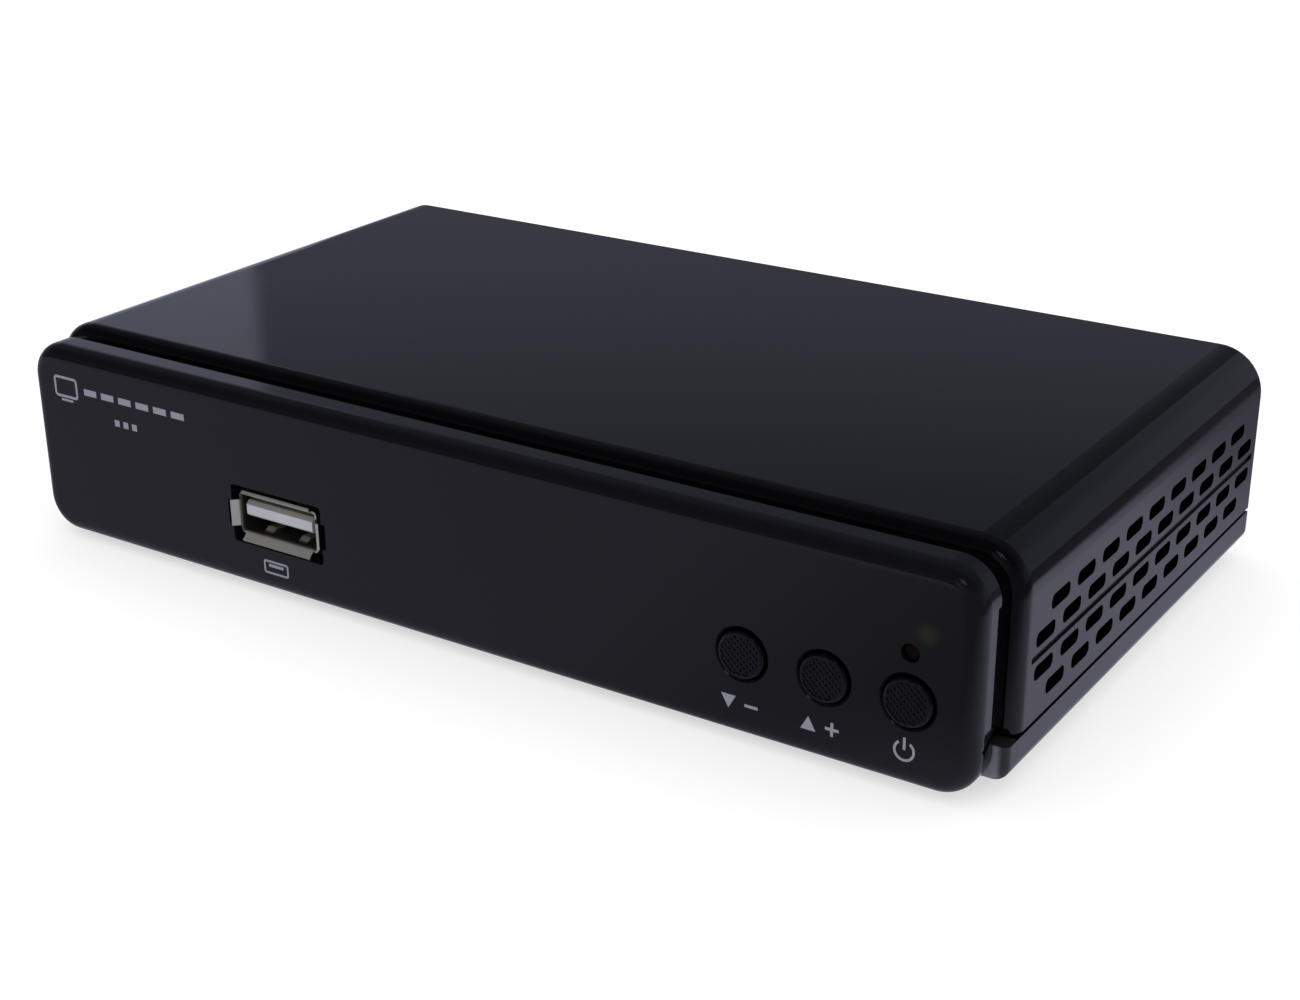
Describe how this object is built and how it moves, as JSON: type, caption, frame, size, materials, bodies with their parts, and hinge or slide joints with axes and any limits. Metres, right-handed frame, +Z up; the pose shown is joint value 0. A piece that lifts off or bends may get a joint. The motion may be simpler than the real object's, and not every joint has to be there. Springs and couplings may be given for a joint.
{
  "type": "set-top television recorder",
  "caption": "Small black set-top television recorder box with a smoked front panel, round push buttons, a USB recording port, side vents and a rear connector row.",
  "frame": {"origin": "centre of the bottom of the bounding box, on the surface that the feet stand on", "axes": "+Z up, the front panel faces -Y, +X to the right as seen from the front, along the object's width"},
  "size_m": [0.144, 0.09, 0.0287],
  "materials": {
    "gloss_black": "high gloss black",
    "smoked_gloss": "smoked gloss black",
    "satin_black": "satin black",
    "button_black": "satin black with a knurled face",
    "clear_pipe": "tinted clear",
    "receiver_dark": "dark amber epoxy",
    "steel": "tinned sheet steel",
    "nickel": "nickel plated",
    "white_plastic": "white moulded plastic",
    "contact_gold": "gold flashed",
    "board_green": "green solder mask",
    "chip_black": "black epoxy",
    "sink_aluminium": "anodised",
    "capacitor_sleeve": "dark sleeve",
    "ferrite_grey": "ferrite",
    "jack_yellow": "yellow moulded plastic",
    "jack_white": "white moulded plastic",
    "jack_red": "red moulded plastic",
    "screw_steel": "zinc plated",
    "rubber_black": "soft rubber",
    "label_silver": "blank silver film"
  },
  "bodies": {
    "case": {"upper_shell": "gloss_black", "lower_shell": "satin_black", "rear_panel": "satin_black", "front_panel": "smoked_gloss", "front_board": "board_green", "switch_housings": "chip_black", "switch_covers": "steel", "switch_domes": "steel", "status_led": "white_plastic", "light_pipe": "clear_pipe", "ir_receiver": "receiver_dark", "link_pins": "contact_gold", "link_header": "chip_black", "usb_shell": "nickel", "usb_tongue": "white_plastic", "usb_contacts": "contact_gold", "main_board": "board_green", "main_chip": "chip_black", "heat_sink": "sink_aluminium", "memory_chips": "chip_black", "crystal_can": "steel", "capacitors": "capacitor_sleeve", "power_inductors": "ferrite_grey", "regulator_chips": "chip_black", "tuner_can": "steel", "tuner_lid": "steel", "tuner_chip": "chip_black", "antenna_in_connector": "nickel", "antenna_out_connector": "nickel", "antenna_insulators": "white_plastic", "antenna_clips": "contact_gold", "antenna_washers": "nickel", "antenna_nuts": "nickel", "hdmi_shell": "nickel", "hdmi_tongue": "chip_black", "hdmi_contacts": "contact_gold", "av_jack_housing": "chip_black", "av_jack_sleeves": "nickel", "video_jack_insulator": "jack_yellow", "left_audio_jack_insulator": "jack_white", "right_audio_jack_insulator": "jack_red", "av_jack_contacts": "contact_gold", "power_jack_housing": "chip_black", "power_jack_pin": "nickel", "power_jack_contact": "contact_gold", "case_screws": "screw_steel", "board_screws": "screw_steel", "feet": "rubber_black", "underside_label": "label_silver"},
    "channel_down_key": {"channel_down_button": "button_black", "channel_down_plunger": "chip_black"},
    "channel_up_key": {"channel_up_button": "button_black", "channel_up_plunger": "chip_black"},
    "power_key": {"power_button": "button_black", "power_plunger": "chip_black"}
  },
  "joints": [
    {"name": "channel_down_press", "type": "slide", "parent": "case", "child": "channel_down_key", "axis": [0, 1, 0], "range_m": [0, 0.0005], "stiffness_N_per_m": 900},
    {"name": "channel_up_press", "type": "slide", "parent": "case", "child": "channel_up_key", "axis": [0, 1, 0], "range_m": [0, 0.0005], "stiffness_N_per_m": 900},
    {"name": "power_press", "type": "slide", "parent": "case", "child": "power_key", "axis": [0, 1, 0], "range_m": [0, 0.0005], "stiffness_N_per_m": 900}
  ]
}
